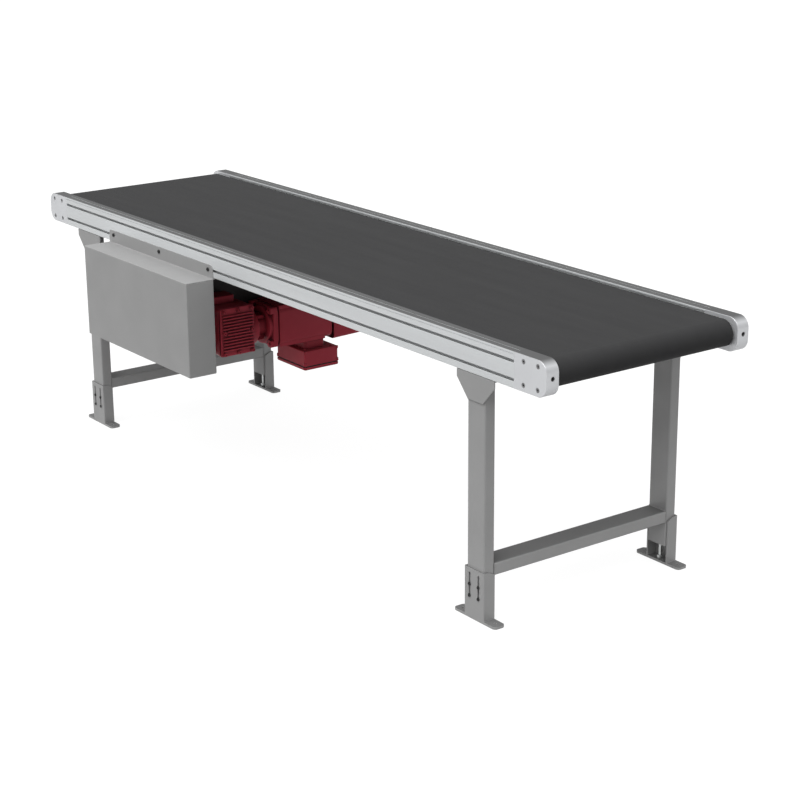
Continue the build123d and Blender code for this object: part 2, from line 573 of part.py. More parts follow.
# Terminal box under the motor
BOX_X = (-509.0, -322.0)
BOX_Y = (12.0, 160.0)
BOX_Z = (357.0, 415.0)
LID_LOW_Z = 342.0
box = block(*BOX_X, *BOX_Y, *BOX_Z)
box = fillet(box.edges().filter_by(Axis.Z), 6)
box -= block(BOX_X[0] + 5, BOX_X[1] - 5, BOX_Y[0] + 5, BOX_Y[1] - 5, BOX_Z[0] - 1, BOX_Z[1] - 5)
box -= block(NECK[0] + 8, NECK[1] - 8, NECK[2] + 8, NECK[3] - 8, 400, 420)
LID_SCREWS = [(x, y) for x in (BOX_X[0] + 9, BOX_X[1] - 9) for y in (BOX_Y[0] + 9, BOX_Y[1] - 9)]
for x, y in LID_SCREWS:
    post = block(x - 8, x + 8, y - 8, y + 8, BOX_Z[0], BOX_Z[1] - 3)
    box += post & block(*BOX_X, *BOX_Y, *BOX_Z)
    box -= rod_z(x, y, 3, BOX_Z[0] - 1, BOX_Z[0] + 12)
GLAND_X = -415.0
GLAND_Z = 382.0
GLAND_RADIUS = 12.5
box -= rod_y(GLAND_X, GLAND_Z, GLAND_RADIUS + 0.1, BOX_Y[1] - 8, BOX_Y[1] + 2)
save("terminal_box", box)

lid = block(BOX_X[0] - 2, BOX_X[1] + 2, BOX_Y[0] - 2, BOX_Y[1] + 2, LID_LOW_Z, BOX_Z[0])
lid = fillet(lid.edges().filter_by(Axis.Z), 8)
lid = chamfer(lid.faces().sort_by(Axis.Z)[0].edges(), 5)
for x, y in LID_SCREWS:
    lid -= rod_z(x, y, 3.1, LID_LOW_Z - 1, BOX_Z[0] + 1)
    lid -= rod_z(x, y, 5.3, LID_LOW_Z - 1, LID_LOW_Z + 9)
save("terminal_box_lid", lid)

screws = []
for x, y in LID_SCREWS:
    screws.append(Pos(x, y, LID_LOW_Z + 9) * Rot(180, 0, 0) * cap_screw(5, 4, 2.9, 16, 2.3))
save("terminal_lid_screws", screws)

gland = rod_y(GLAND_X, GLAND_Z, GLAND_RADIUS, BOX_Y[1] - 8, BOX_Y[1])
hexagon = extrude(Rot(90, 0, 0) * RegularPolygon(17, 6), 8)
gland += Pos(GLAND_X, BOX_Y[1] + 8, GLAND_Z) * hexagon
gland += rod_y(GLAND_X, GLAND_Z, 14, BOX_Y[1] + 8, BOX_Y[1] + 22)
gland -= rod_y(GLAND_X, GLAND_Z, 8, BOX_Y[1] - 10, BOX_Y[1] + 24)
save("cable_gland", gland)

# Bracket that hangs the gearmotor between the profiles
WEB_X = (WEB_FRONT_X - 6, WEB_FRONT_X)
web_points = [(-343, 778), (343, 778), (343, 712), (300, 676), (190, 676), (160, 500),
              (-150, 500), (-195, 462), (-325, 462), (-343, 480)]
web_face = make_face(Polyline([(0, y, z) for y, z in web_points], close=True))
bracket = Pos(WEB_X[0], 0, 0) * extrude(web_face, 6, dir=(1, 0, 0))
for side in (-1, 1):
    bracket += block(WEB_X[0] - 70, WEB_X[1], side * (INNER_Y - 6), side * INNER_Y, 712, 848)
    for x in (-560, -530):
        for z in (802, 832):
            bracket -= rod_y(x, z, 4.4, side * 330, side * 360)
for y in (-140, 90):
    bracket += block(WEB_X[1], WEB_X[1] + 28, y - 3, y + 3, 690, 778)
save("motor_bracket", bracket)


# Leg frames: two tubes, a cross bar and the plates that hang them from the profiles
def leg_frame(end):
    """Welded frame at the right (+1) or left (-1) end."""
    x = end * LEG_X
    half = LEG_WIDE / 2
    bar_low = CROSS_BAR_TOP_Z - CROSS_BAR_HEIGHT
    inner = LEG_OUTER_Y - LEG_DEEP
    frame = block(x - half, x + half, -inner, inner, bar_low, CROSS_BAR_TOP_Z)
    frame -= block(x - half + 3, x + half - 3, -inner - 1, inner + 1, bar_low + 3, CROSS_BAR_TOP_Z - 3)
    for y in (-300, 300):
        frame -= rod_z(x, y, 4, bar_low - 1, bar_low + 4)
    for side in (-1, 1):
        outer_y = side * LEG_OUTER_Y
        mid_y = side * (LEG_OUTER_Y - LEG_DEEP / 2)
        high = BOTTOM_Z - HEAD_PLATE
        tube = block(x - half, x + half, outer_y, side * inner, LEG_LOW_Z, high)
        tube = chamfer(tube.edges().filter_by(Axis.Z), 2)
        room = block(x - half + 3, x + half - 3, outer_y - side * 3, side * (inner + 3), LEG_LOW_Z - 1, high)
        frame += tube - room
        points = [(x - 87, BOTTOM_Z), (x + 87, BOTTOM_Z), (x + 87, 744), (x + 35, 686), (x - 35, 686), (x - 87, 744)]
        frame += plate_xz(points, outer_y, outer_y + side * BRACKET_THICK)
        head = block(x - 87, x + 87, outer_y + side * BRACKET_THICK, side * INNER_Y, high, BOTTOM_Z)
        for dx in LEG_BOLT_DX:
            head -= rod_z(x + dx, side * PROFILE_MID_Y, 4.4, high - 1, BOTTOM_Z + 1)
        frame += head
        for dx in (-SLOT_X, SLOT_X):
            for z in CLAMP_Z:
                frame -= rod_y(x + dx, z, 3, outer_y + side * 5, side * (LEG_OUTER_Y - 4))
            frame -= rod_y(x + dx, CLAMP_Z[1], 4.5, side * (inner - 2), side * (inner + 5))
    return frame


save("leg_frame_right", leg_frame(1))
save("leg_frame_left", leg_frame(-1))

inserts = []
clamps = []
for leg in (-LEG_X, LEG_X):
    for side in (-1, 1):
        mid_y = side * (LEG_OUTER_Y - LEG_DEEP / 2)
        insert = block(leg - 37, leg + 37, mid_y - 17, mid_y + 17, LEG_LOW_Z, LEG_LOW_Z + 54)
        insert -= rod_z(leg, mid_y, SPINDLE_RADIUS + RUN_GAP, 0, 200)
        for dx in (-SLOT_X, SLOT_X):
            for z in CLAMP_Z:
                shaft_end = side * (LEG_OUTER_Y - 14)
                insert -= rod_y(leg + dx, z, 3, side * LEG_OUTER_Y, shaft_end)
                screw = Rot(-90 * side, 0, 0) * button_screw(5.6, 3.2, 2.95, 19, 2.2)
                clamps.append(Pos(leg + dx, side * (FOOT_OUTER_Y + 0.1), z) * screw)
        inserts.append(insert)
save("leg_end_inserts", inserts)
save("clamp_screws", clamps)


# Feet: slotted channels that slide over the leg ends, each on a levelling spindle
def foot(x, side):
    """Foot channel and base plate under one leg."""
    half = FOOT_WIDE / 2
    outer_y = side * FOOT_OUTER_Y
    inner_y = side * FOOT_INNER_Y
    base = block(x - BASE_LONG / 2, x + BASE_LONG / 2, outer_y, inner_y, 0, BASE_THICK)
    base = fillet(base.edges().filter_by(Axis.Z), 12)
    channel = block(x - half, x + half, outer_y, inner_y, BASE_THICK, FOOT_TOP_Z)
    uprights = channel.edges().filter_by(Axis.Z).filter_by(lambda e: abs(e.center().Y - outer_y) < 0.1)
    channel = fillet(uprights, 4)
    room_half = half - FOOT_WALL
    channel -= block(x - room_half, x + room_half, outer_y - side * FOOT_WALL, side * 300, BASE_THICK, FOOT_TOP_Z + 1)
    wedge = make_face(Polyline([(0, side * 378, FOOT_TOP_Z), (0, side * 350, FOOT_TOP_Z - 13),
                                (0, side * 350, FOOT_TOP_Z + 1), (0, side * 378, FOOT_TOP_Z + 1)], close=True))
    channel -= Pos(x - half - 1, 0, 0) * extrude(wedge, FOOT_WIDE + 2, dir=(1, 0, 0))
    mid_y = side * (LEG_OUTER_Y - LEG_DEEP / 2)
    for dx in (-SLOT_X, SLOT_X):
        low = CLAMP_Z[0] - 0.2
        high = 144.0
        slot = block(x + dx - 4.3, x + dx + 4.3, outer_y + side, side * (FOOT_OUTER_Y - FOOT_WALL - 1), low, high)
        slot += rod_y(x + dx, low, 4.3, outer_y + side, side * (FOOT_OUTER_Y - FOOT_WALL - 1))
        slot += rod_y(x + dx, high, 4.3, outer_y + side, side * (FOOT_OUTER_Y - FOOT_WALL - 1))
        channel -= slot
    whole = base + channel
    for dx in (-ANCHOR_X, ANCHOR_X):
        whole -= rod_z(x + dx, side * 375.5, ANCHOR_RADIUS, -1, BASE_THICK + 1)
    return whole - rod_z(x, mid_y, 4 + RUN_GAP, 2, BASE_THICK + 1)


def spindle(x, side):
    """Threaded spindle with a spanner collar and a pilot in the base plate."""
    mid_y = side * (LEG_OUTER_Y - LEG_DEEP / 2)
    collar = extrude(RegularPolygon(10.5, 6), 11)
    body = Pos(x, mid_y, BASE_THICK + RUN_GAP) * collar
    body += rod_z(x, mid_y, SPINDLE_RADIUS, BASE_THICK + 5, 160)
    return body + rod_z(x, mid_y, 4, 2.5, BASE_THICK + 5)


for end, end_word in ((1, "right"), (-1, "left")):
    for side, side_word in ((-1, "near"), (1, "far")):
        save(f"foot_{side_word}_{end_word}", foot(end * LEG_X, side))
        save(f"spindle_{side_word}_{end_word}", spindle(end * LEG_X, side))
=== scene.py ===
"""Looks of the belt conveyor section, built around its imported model. All lengths are in metres."""

import math

import bmesh
import bpy
from mathutils import Matrix, Vector


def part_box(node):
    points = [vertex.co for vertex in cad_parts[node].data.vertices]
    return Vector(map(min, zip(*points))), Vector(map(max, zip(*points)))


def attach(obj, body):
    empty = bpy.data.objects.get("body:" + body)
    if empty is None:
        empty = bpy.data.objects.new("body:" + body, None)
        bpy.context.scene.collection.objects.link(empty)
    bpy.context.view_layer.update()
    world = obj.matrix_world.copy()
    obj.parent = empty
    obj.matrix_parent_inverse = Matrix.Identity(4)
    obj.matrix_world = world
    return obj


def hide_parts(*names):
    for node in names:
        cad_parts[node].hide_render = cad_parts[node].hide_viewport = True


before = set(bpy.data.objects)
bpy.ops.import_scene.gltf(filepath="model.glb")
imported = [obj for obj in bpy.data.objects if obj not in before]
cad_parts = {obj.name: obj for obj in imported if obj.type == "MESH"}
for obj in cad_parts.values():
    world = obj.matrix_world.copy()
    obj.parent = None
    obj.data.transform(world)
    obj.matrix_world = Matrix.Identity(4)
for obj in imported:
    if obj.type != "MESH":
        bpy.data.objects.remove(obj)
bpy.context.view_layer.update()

AXIS = {"X": 0, "Y": 1, "Z": 2}


# ---------------------------------------------------------------- shader tools
def add(tree, kind, settings=None, inputs=None):
    """A shader node; each input is a plain value or the socket it is fed from."""
    node = tree.nodes.new("ShaderNode" + kind)
    for key, value in (settings or {}).items():
        setattr(node, key, value)
    for key, value in (inputs or {}).items():
        if isinstance(value, bpy.types.NodeSocket):
            tree.links.new(value, node.inputs[key])
        else:
            node.inputs[key].default_value = value
    return node


def new_group(name, inputs, outputs):
    """An empty shader node group with named sockets, and its two end nodes."""
    group = bpy.data.node_groups.new(name, "ShaderNodeTree")
    for label, value in inputs.items():
        kind = "Float" if isinstance(value, float) else ("Color" if len(value) == 4 else "Vector")
        socket = group.interface.new_socket(label, in_out="INPUT", socket_type="NodeSocket" + kind)
        socket.default_value = value
    for label, kind in outputs.items():
        group.interface.new_socket(label, in_out="OUTPUT", socket_type="NodeSocket" + kind)
    return group, group.nodes.new("NodeGroupInput"), group.nodes.new("NodeGroupOutput")


def math_node(tree, operation, first, second):
    return add(tree, "Math", {"operation": operation}, {0: first, 1: second}).outputs[0]


def build_rounded_edge():
    """Softens sharp corners in the light, and marks edges where handling wears them; the lighter colour laid
    there is also a painted highlight.
    """
    group, start, end = new_group(
        "Rounded edge",
        {"Radius": 0.0015, "Patchiness": 40.0},
        {"Normal": "Vector", "Wear and highlight": "Float"},
    )
    bevel = add(group, "Bevel", {"samples": 4}, {"Radius": start.outputs["Radius"]})
    surface = add(group, "NewGeometry")
    same = add(
        group, "VectorMath", {"operation": "DOT_PRODUCT"},
        {0: bevel.outputs[0], 1: surface.outputs["Normal"]},
    )
    turned = math_node(group, "SUBTRACT", 1.0, same.outputs["Value"])
    edge = add(group, "MapRange", None, {"Value": turned, "From Max": 0.18})
    place = add(group, "TexCoord")
    patches = add(
        group, "TexNoise", None,
        {
            "Vector": place.outputs["Object"], "Scale": start.outputs["Patchiness"],
            "Detail": 4.0, "Roughness": 0.6,
        },
    )
    worn_and_highlit = add(group, "MapRange", None, {"Value": patches.outputs["Fac"], "From Min": 0.42, "From Max": 0.66})
    wear_and_highlight = math_node(group, "MULTIPLY", edge.outputs[0], worn_and_highlit.outputs[0])
    group.links.new(bevel.outputs[0], end.inputs["Normal"])
    group.links.new(wear_and_highlight, end.inputs["Wear and highlight"])
    return group


def build_grain():
    """Fine relief: drawn lines, orange peel or cast skin, by the three scales given."""
    group, start, end = new_group(
        "Surface grain",
        {"Scale": (600.0, 600.0, 600.0), "Detail": 2.0},
        {"Height": "Float"},
    )
    place = add(group, "TexCoord")
    stretched = add(
        group, "VectorMath", {"operation": "MULTIPLY"},
        {0: place.outputs["Object"], 1: start.outputs["Scale"]},
    )
    noise = add(
        group, "TexNoise", None,
        {"Vector": stretched.outputs[0], "Scale": 1.0, "Detail": start.outputs["Detail"], "Roughness": 0.55},
    )
    group.links.new(noise.outputs["Fac"], end.inputs["Height"])
    return group


def build_mottle():
    """Slow drift between two shades of one finish, and a little drift in its gloss."""
    group, start, end = new_group(
        "Mottle",
        {
            "Main": (0.5, 0.5, 0.5, 1.0), "Second": (0.4, 0.4, 0.4, 1.0), "Scale": 6.0,
            "Stretch": (1.0, 1.0, 1.0), "Roughness": 0.5, "Swing": 0.08,
        },
        {"Color": "Color", "Roughness": "Float"},
    )
    place = add(group, "TexCoord")
    stretched = add(
        group, "VectorMath", {"operation": "MULTIPLY"},
        {0: place.outputs["Object"], 1: start.outputs["Stretch"]},
    )
    noise = add(
        group, "TexNoise", None,
        {"Vector": stretched.outputs[0], "Scale": start.outputs["Scale"], "Detail": 5.0, "Roughness": 0.6},
    )
    drift = add(group, "MapRange", None, {"Value": noise.outputs["Fac"], "From Min": 0.35, "From Max": 0.65})
    shade = add(
        group, "Mix", {"data_type": "RGBA"},
        {0: drift.outputs[0], 6: start.outputs["Main"], 7: start.outputs["Second"]},
    )
    low = math_node(group, "SUBTRACT", drift.outputs[0], 0.5)
    swing = math_node(group, "MULTIPLY", low, start.outputs["Swing"])
    rough = math_node(group, "ADD", start.outputs["Roughness"], swing)
    group.links.new(shade.outputs[2], end.inputs["Color"])
    group.links.new(rough, end.inputs["Roughness"])
    return group


def build_dust_and_top_shade():
    """Mask of faces that look up: in soft patches it is settled dust, and spread evenly it is painted shade
    that darkens the tops.
    """
    group, start, end = new_group(
        "Settled dust and painted top shade",
        {"Amount": 0.2, "Evenly": 0.0, "Scale": 14.0},
        {"Mask": "Float"},
    )
    surface = add(group, "NewGeometry")
    split = add(group, "SeparateXYZ", None, {0: surface.outputs["Normal"]})
    level = add(group, "MapRange", None, {"Value": split.outputs["Z"], "From Min": 0.6, "From Max": 1.0})
    place = add(group, "TexCoord")
    noise = add(
        group, "TexNoise", None,
        {
            "Vector": place.outputs["Object"], "Scale": start.outputs["Scale"],
            "Detail": 6.0, "Roughness": 0.65,
        },
    )
    patches = add(group, "MapRange", None, {"Value": noise.outputs["Fac"], "From Min": 0.4, "From Max": 0.75})
    spread = math_node(group, "MAXIMUM", patches.outputs[0], start.outputs["Evenly"])
    dust_and_top_shade_mask = math_node(group, "MULTIPLY", level.outputs[0], spread)
    group.links.new(math_node(group, "MULTIPLY", dust_and_top_shade_mask, start.outputs["Amount"]), end.inputs["Mask"])
    return group


def build_painted_recess_shade():
    """Painted shade: a mask that darkens hollows and inside corners that little light reaches."""
    group, start, end = new_group("Painted recess shade", {"Reach": 0.03, "Amount": 0.5}, {"Mask": "Float"})
    hollow = add(group, "AmbientOcclusion", {"samples": 6}, {"Distance": start.outputs["Reach"]})
    depth = add(
        group, "MapRange", None,
        {"Value": hollow.outputs["AO"], "From Min": 0.35, "From Max": 0.92, "To Min": 1.0, "To Max": 0.0},
    )
    group.links.new(
        math_node(group, "MULTIPLY", depth.outputs[0], start.outputs["Amount"]),
        end.inputs["Mask"],
    )
    return group


def build_weave():
    """Small woven or pyramid relief that two crossed waves make."""
    group, start, end = new_group("Cross weave", {"Pitch": 0.0012}, {"Height": "Float"})
    place = add(group, "TexCoord")
    split = add(group, "SeparateXYZ", None, {0: place.outputs["Object"]})
    turns = math_node(group, "DIVIDE", 2 * math.pi, start.outputs["Pitch"])
    waves = []
    for axis in ("X", "Y"):
        phase = math_node(group, "MULTIPLY", split.outputs[axis], turns)
        waves.append(math_node(group, "SINE", phase, 0.0))
    crossed = math_node(group, "MULTIPLY", waves[0], waves[1])
    raised = math_node(group, "ADD", math_node(group, "MULTIPLY", crossed, 0.5), 0.5)
    group.links.new(raised, end.inputs["Height"])
    return group


ROUNDED_EDGE = build_rounded_edge()
GRAIN = build_grain()
MOTTLE = build_mottle()
DUST_AND_TOP_SHADE = build_dust_and_top_shade()
PAINTED_RECESS_SHADE = build_painted_recess_shade()
WEAVE = build_weave()


def use(tree, group, **values):
    """A group placed in a material, with its own values."""
    node = tree.nodes.new("ShaderNodeGroup")
    node.node_tree = group
    for label, value in values.items():
        node.inputs[label].default_value = value
    return node


def grey(level):
    return (level, level, level, 1.0)


# Colour of the painted shade laid into hollows by the recess shade mask.
RECESS_SHADE = (0.030, 0.004, 0.006, 1)


def finish(
    name, main, second, rough, swing=0.08, metallic=0.0, coat=0.0, scale=6.0, stretch=(1.0, 1.0, 1.0),
    grain=(600.0, 600.0, 600.0), detail=2.0, depth=0.00002, edge=0.0012, worn_and_highlit=grey(0.5), wear_and_highlight=0.3,
    dust_and_top_shade_colour=grey(0.3), dust_and_top_shade=0.15, evenly=0.0, weave=0.0, specular=0.5, recess_shade_amount=0.0,
):
    """Drifting colour and gloss, fine relief, worn edges that also carry a painted highlight, dust and
    painted shade on upward faces, and painted shade in hollows.
    """
    material = bpy.data.materials.new(name)
    material.use_nodes = True
    tree = material.node_tree
    tree.nodes.clear()
    shader = add(tree, "BsdfPrincipled")
    out = add(tree, "OutputMaterial")
    tree.links.new(shader.outputs[0], out.inputs[0])
    shader.inputs["Metallic"].default_value = metallic
    shader.inputs["Coat Weight"].default_value = coat
    shader.inputs["Coat Roughness"].default_value = 0.25
    shader.inputs["Specular IOR Level"].default_value = specular

    mottle = use(
        tree, MOTTLE, Main=main, Second=second, Scale=scale, Stretch=stretch, Roughness=rough, Swing=swing,
    )
    edges = use(tree, ROUNDED_EDGE, Radius=edge)
    dust_and_top_shade_mask = use(tree, DUST_AND_TOP_SHADE, Amount=dust_and_top_shade, Evenly=evenly)
    relief = use(tree, GRAIN, Scale=grain, Detail=detail)

    # Edge colour: wear, and also a painted highlight, strongest on the guard folds.
    wear_and_highlight_share = math_node(tree, "MULTIPLY", edges.outputs["Wear and highlight"], wear_and_highlight)
    rubbed_and_highlit = add(tree, "Mix", {"data_type": "RGBA"}, {0: wear_and_highlight_share, 6: mottle.outputs["Color"], 7: worn_and_highlit})
    # Up-facing faces mixed to a darker colour: dust where patchy, painted shade where spread evenly.
    dusted_and_shaded = add(
        tree, "Mix", {"data_type": "RGBA"},
        {0: dust_and_top_shade_mask.outputs["Mask"], 6: rubbed_and_highlit.outputs[2], 7: dust_and_top_shade_colour},
    )
    # Painted shade: hollows darkened towards RECESS_SHADE.
    if recess_shade_amount:
        recess_shade_mask = use(tree, PAINTED_RECESS_SHADE, Amount=recess_shade_amount)
        dusted_and_shaded = add(
            tree, "Mix", {"data_type": "RGBA"},
            {0: recess_shade_mask.outputs["Mask"], 6: dusted_and_shaded.outputs[2], 7: RECESS_SHADE},
        )
    tree.links.new(dusted_and_shaded.outputs[2], shader.inputs["Base Color"])
    duller = math_node(tree, "MULTIPLY", dust_and_top_shade_mask.outputs["Mask"], 0.3)
    tree.links.new(math_node(tree, "ADD", mottle.outputs["Roughness"], duller), shader.inputs["Roughness"])

    bump = add(
        tree, "Bump", None,
        {"Height": relief.outputs["Height"], "Distance": depth, "Normal": edges.outputs["Normal"]},
    )
    if weave:
        woven = use(tree, WEAVE, Pitch=weave)
        bump = add(
            tree, "Bump", None,
            {"Height": woven.outputs["Height"], "Distance": weave * 0.08, "Normal": bump.outputs[0]},
        )
    tree.links.new(bump.outputs[0], shader.inputs["Normal"])
    return material


FINISHES = {
    # Evenly darker up-facing faces: painted shade, standing for the dark reflection on the profile tops.
    "anodised": finish(
        "Drawn anodised aluminium", (0.74, 0.76, 0.77, 1), (0.71, 0.73, 0.74, 1), 0.44, metallic=0.3,
        stretch=(0.15, 3.0, 3.0), grain=(5.0, 1400.0, 1400.0), depth=0.00001, edge=0.0007,
        worn_and_highlit=grey(0.85), dust_and_top_shade_colour=grey(0.05), dust_and_top_shade=0.95, evenly=0.95,
    ),
    # Evenly darker up-facing faces: painted shade grading over the rounded end-block tops.
    "block": finish(
        "Machined end block", (0.71, 0.72, 0.74, 1), (0.68, 0.69, 0.71, 1), 0.40, metallic=0.4,
        grain=(40.0, 900.0, 900.0), depth=0.00001, edge=0.001, worn_and_highlit=grey(0.9), dust_and_top_shade_colour=grey(0.05), dust_and_top_shade=0.95,
        evenly=0.95,
    ),
    "belt": finish(
        "Conveyor belt cover", (0.037, 0.037, 0.038, 1), (0.035, 0.035, 0.036, 1), 0.78, swing=0.04,
        stretch=(0.3, 3.0, 3.0), grain=(250.0, 250.0, 250.0), depth=0.00004, edge=0.0005, worn_and_highlit=grey(0.12),
        dust_and_top_shade_colour=grey(0.12), dust_and_top_shade=0.02, weave=0.0014, specular=0.2,
    ),
    # Evenly darker up-facing faces: painted shade, standing for the shade on the cross bar and feet under the
    # deck.
    "frame_paint": finish(
        "Silver-grey powder coat, frame", (0.38, 0.38, 0.38, 1), (0.365, 0.365, 0.365, 1), 0.48,
        metallic=0.15,
        grain=(700.0, 700.0, 700.0), depth=0.00004, edge=0.0018, worn_and_highlit=grey(0.6), dust_and_top_shade_colour=grey(0.13), dust_and_top_shade=0.9,
        evenly=0.85,
    ),
    # Light edge colour with a strong share: painted highlight along the folds.
    "guard_paint": finish(
        "Silver-grey powder coat, guard", (0.36, 0.36, 0.36, 1), (0.35, 0.35, 0.35, 1), 0.48, metallic=0.12,
        grain=(700.0, 700.0, 700.0), depth=0.00004, edge=0.0020, worn_and_highlit=grey(0.75), wear_and_highlight=0.9, dust_and_top_shade=0.12,
    ),
    # Recess shade: painted shade darkening the hollows between ribs, flanges and ledges.
    "gear_paint": finish(
        "Dark red machine paint on castings", (0.62, 0.060, 0.092, 1), (0.57, 0.052, 0.080, 1), 0.46,
        specular=0.22, grain=(330.0, 330.0, 330.0), detail=4.0, depth=0.00012, edge=0.0014,
        worn_and_highlit=(0.50, 0.13, 0.13, 1), wear_and_highlight=0.5, dust_and_top_shade_colour=(0.16, 0.05, 0.05, 1), dust_and_top_shade=0.6, evenly=0.6, recess_shade_amount=0.8,
    ),
    "bright_steel": finish(
        "Ground steel", (0.62, 0.62, 0.61, 1), (0.54, 0.54, 0.53, 1), 0.26, metallic=1.0,
        grain=(1200.0, 60.0, 1200.0), depth=0.000008, edge=0.0006, worn_and_highlit=grey(0.8), dust_and_top_shade=0.1,
    ),
    "zinc": finish(
        "Zinc-plated steel", (0.52, 0.53, 0.53, 1), (0.42, 0.43, 0.42, 1), 0.38, metallic=1.0, scale=60.0,
        grain=(900.0, 900.0, 900.0), depth=0.00001, edge=0.0005, worn_and_highlit=grey(0.7), dust_and_top_shade=0.15,
    ),
    "black_screw": finish(
        "Black-oxide screw steel", (0.020, 0.020, 0.022, 1), (0.032, 0.031, 0.030, 1), 0.42, metallic=0.6,
        scale=90.0, depth=0.00001, edge=0.0004, worn_and_highlit=grey(0.22), wear_and_highlight=0.5, dust_and_top_shade=0.1,
    ),
    "lagging": finish(
        "Drum lagging rubber", (0.030, 0.029, 0.028, 1), (0.040, 0.039, 0.037, 1), 0.78,
        grain=(500.0, 500.0, 500.0), depth=0.00008, edge=0.0006, worn_and_highlit=grey(0.07), dust_and_top_shade=0.25, weave=0.004,
    ),
    "drive_rubber": finish(
        "Toothed belt rubber", (0.020, 0.020, 0.021, 1), (0.028, 0.028, 0.028, 1), 0.66,
        grain=(900.0, 900.0, 900.0), depth=0.00004, edge=0.0005, worn_and_highlit=grey(0.06), dust_and_top_shade=0.2,
    ),
    "plastic": finish(
        "Moulded black plastic", (0.028, 0.028, 0.030, 1), (0.036, 0.036, 0.038, 1), 0.48,
        grain=(1100.0, 1100.0, 1100.0), depth=0.00003, edge=0.0005, worn_and_highlit=grey(0.09), dust_and_top_shade=0.15,
    ),
    "socket_screw": finish(
        "Dull steel of the end block screws", (0.26, 0.26, 0.265, 1), (0.22, 0.22, 0.225, 1), 0.42,
        metallic=0.6, scale=90.0, depth=0.00001, edge=0.0004, worn_and_highlit=grey(0.4), dust_and_top_shade=0.1,
    ),
    "bed_sheet": finish(
        "Dull steel of the slider bed", (0.05, 0.05, 0.052, 1), (0.04, 0.04, 0.042, 1), 0.6, metallic=0.4,
        stretch=(0.2, 3.0, 1.0), depth=0.00001, edge=0.0005, worn_and_highlit=grey(0.2), dust_and_top_shade=0.3,
    ),
    # Near-black colour: painted shade for the bracket that sits in deep shade under the deck.
    "dark_paint": finish(
        "Charcoal paint for painted shade", (0.026, 0.020, 0.020, 1), (0.022, 0.017, 0.017, 1), 0.55, specular=0.25,
        grain=(700.0, 700.0, 700.0), depth=0.00004, edge=0.001, worn_and_highlit=grey(0.2), dust_and_top_shade=0.2,
    ),
}

for name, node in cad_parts.items():
    slot = node.data.materials[0].name
    if name == "end_block_screws":
        slot = "socket_screw"
    elif name == "slider_bed":
        slot = "bed_sheet"
    elif name.startswith("end_block_"):
        slot = "block"
    node.data.materials.clear()
    node.data.materials.append(FINISHES[slot])

# ---------------------------------------------------------------- modelling tools
TURNS = {"X": (0, math.pi / 2, 0), "Y": (math.pi / 2, 0, 0), "Z": (0, 0, 0)}


def let_go():
    """Object mode with nothing selected."""
    if bpy.context.mode != "OBJECT":
        bpy.ops.object.mode_set(mode="OBJECT")
    bpy.ops.object.select_all(action="DESELECT")


def hold(piece):
    """This piece alone is selected and active."""
    let_go()
    piece.select_set(True)
    bpy.context.view_layer.objects.active = piece


def settle(name):
    """Puts the active piece's place, turn and size into its mesh."""
    bpy.ops.object.transform_apply(location=True, rotation=True, scale=True)
    piece = bpy.context.object
    piece.name = name
    return piece


def block(name, low, high):
    """A box between two corners."""
    let_go()
    middle = [(a + b) / 2 for a, b in zip(low, high)]
    size = [b - a for a, b in zip(low, high)]
    bpy.ops.mesh.primitive_cube_add(size=1, location=middle, scale=size)
    return settle(name)


def bar(name, axis, radius, start, end, across, sides=48):
    """A round bar along one axis, from start to end, at the two other coordinates."""
    place = list(across)
    place.insert(AXIS[axis], (start + end) / 2)
    let_go()
    bpy.ops.mesh.primitive_cylinder_add(
        vertices=sides, radius=radius, depth=end - start, location=place, rotation=TURNS[axis]
    )
    return settle(name)


def middle_of(part):
    if isinstance(part, bmesh.types.BMFace):
        return part.calc_center_median()
    if isinstance(part, bmesh.types.BMEdge):
        return (part.verts[0].co + part.verts[1].co) / 2
    return part.co


def runs_along(edge, axis):
    step = edge.verts[1].co - edge.verts[0].co
    return abs(step[AXIS[axis]]) > 0.99 * step.length


def looks(face, way):
    """Whether a face looks along a signed axis such as +Y."""
    value = face.normal[AXIS[way[1]]]
    return (value if way[0] == "+" else -value) > 0.95


def choose(piece, kind, wanted):
    """Edit mode, with just the faces, edges or corners that are wanted selected."""
    hold(piece)
    bpy.ops.object.mode_set(mode="EDIT")
    bpy.ops.mesh.select_mode(type=kind)
    bpy.ops.mesh.select_all(action="DESELECT")
    mesh = bmesh.from_edit_mesh(piece.data)
    parts = {"FACE": mesh.faces, "EDGE": mesh.edges, "VERT": mesh.verts}[kind]
    for part in parts:
        if wanted(part):
            part.select_set(True)
    bmesh.update_edit_mesh(piece.data)


def round_edges(piece, wanted, radius, steps=4):
    choose(piece, "EDGE", wanted)
    bpy.ops.mesh.bevel(offset=radius, segments=steps, affect="EDGES")
    let_go()


def round_corners(piece, wanted, radius, steps=8):
    choose(piece, "VERT", wanted)
    bpy.ops.mesh.bevel(offset=radius, segments=steps, affect="VERTICES")
    let_go()


def round_ring(piece, axis, place, radius, steps=3):
    """Rounds every edge that lies in one plane across an axis."""
    index = AXIS[axis]
    round_edges(piece, lambda e: all(abs(v.co[index] - place) < 1e-5 for v in e.verts), radius, steps)


def take_away(piece, wanted):
    choose(piece, "FACE", wanted)
    bpy.ops.mesh.delete(type="FACE")
    let_go()


def draw_out(piece, kind, wanted, step, grow=None, about=None):
    """Extrudes what is wanted by a step, and may scale the new end about a point."""
    choose(piece, kind, wanted)
    bpy.ops.mesh.extrude_region_move(TRANSFORM_OT_translate={"value": step})
    if grow:
        bpy.ops.transform.resize(value=grow, center_override=about)
    let_go()


def run_modifier(piece, kind, **settings):
    hold(piece)
    modifier = piece.modifiers.new(kind, kind)
    for key, value in settings.items():
        setattr(modifier, key, value)
    bpy.ops.object.modifier_apply(modifier=modifier.name)


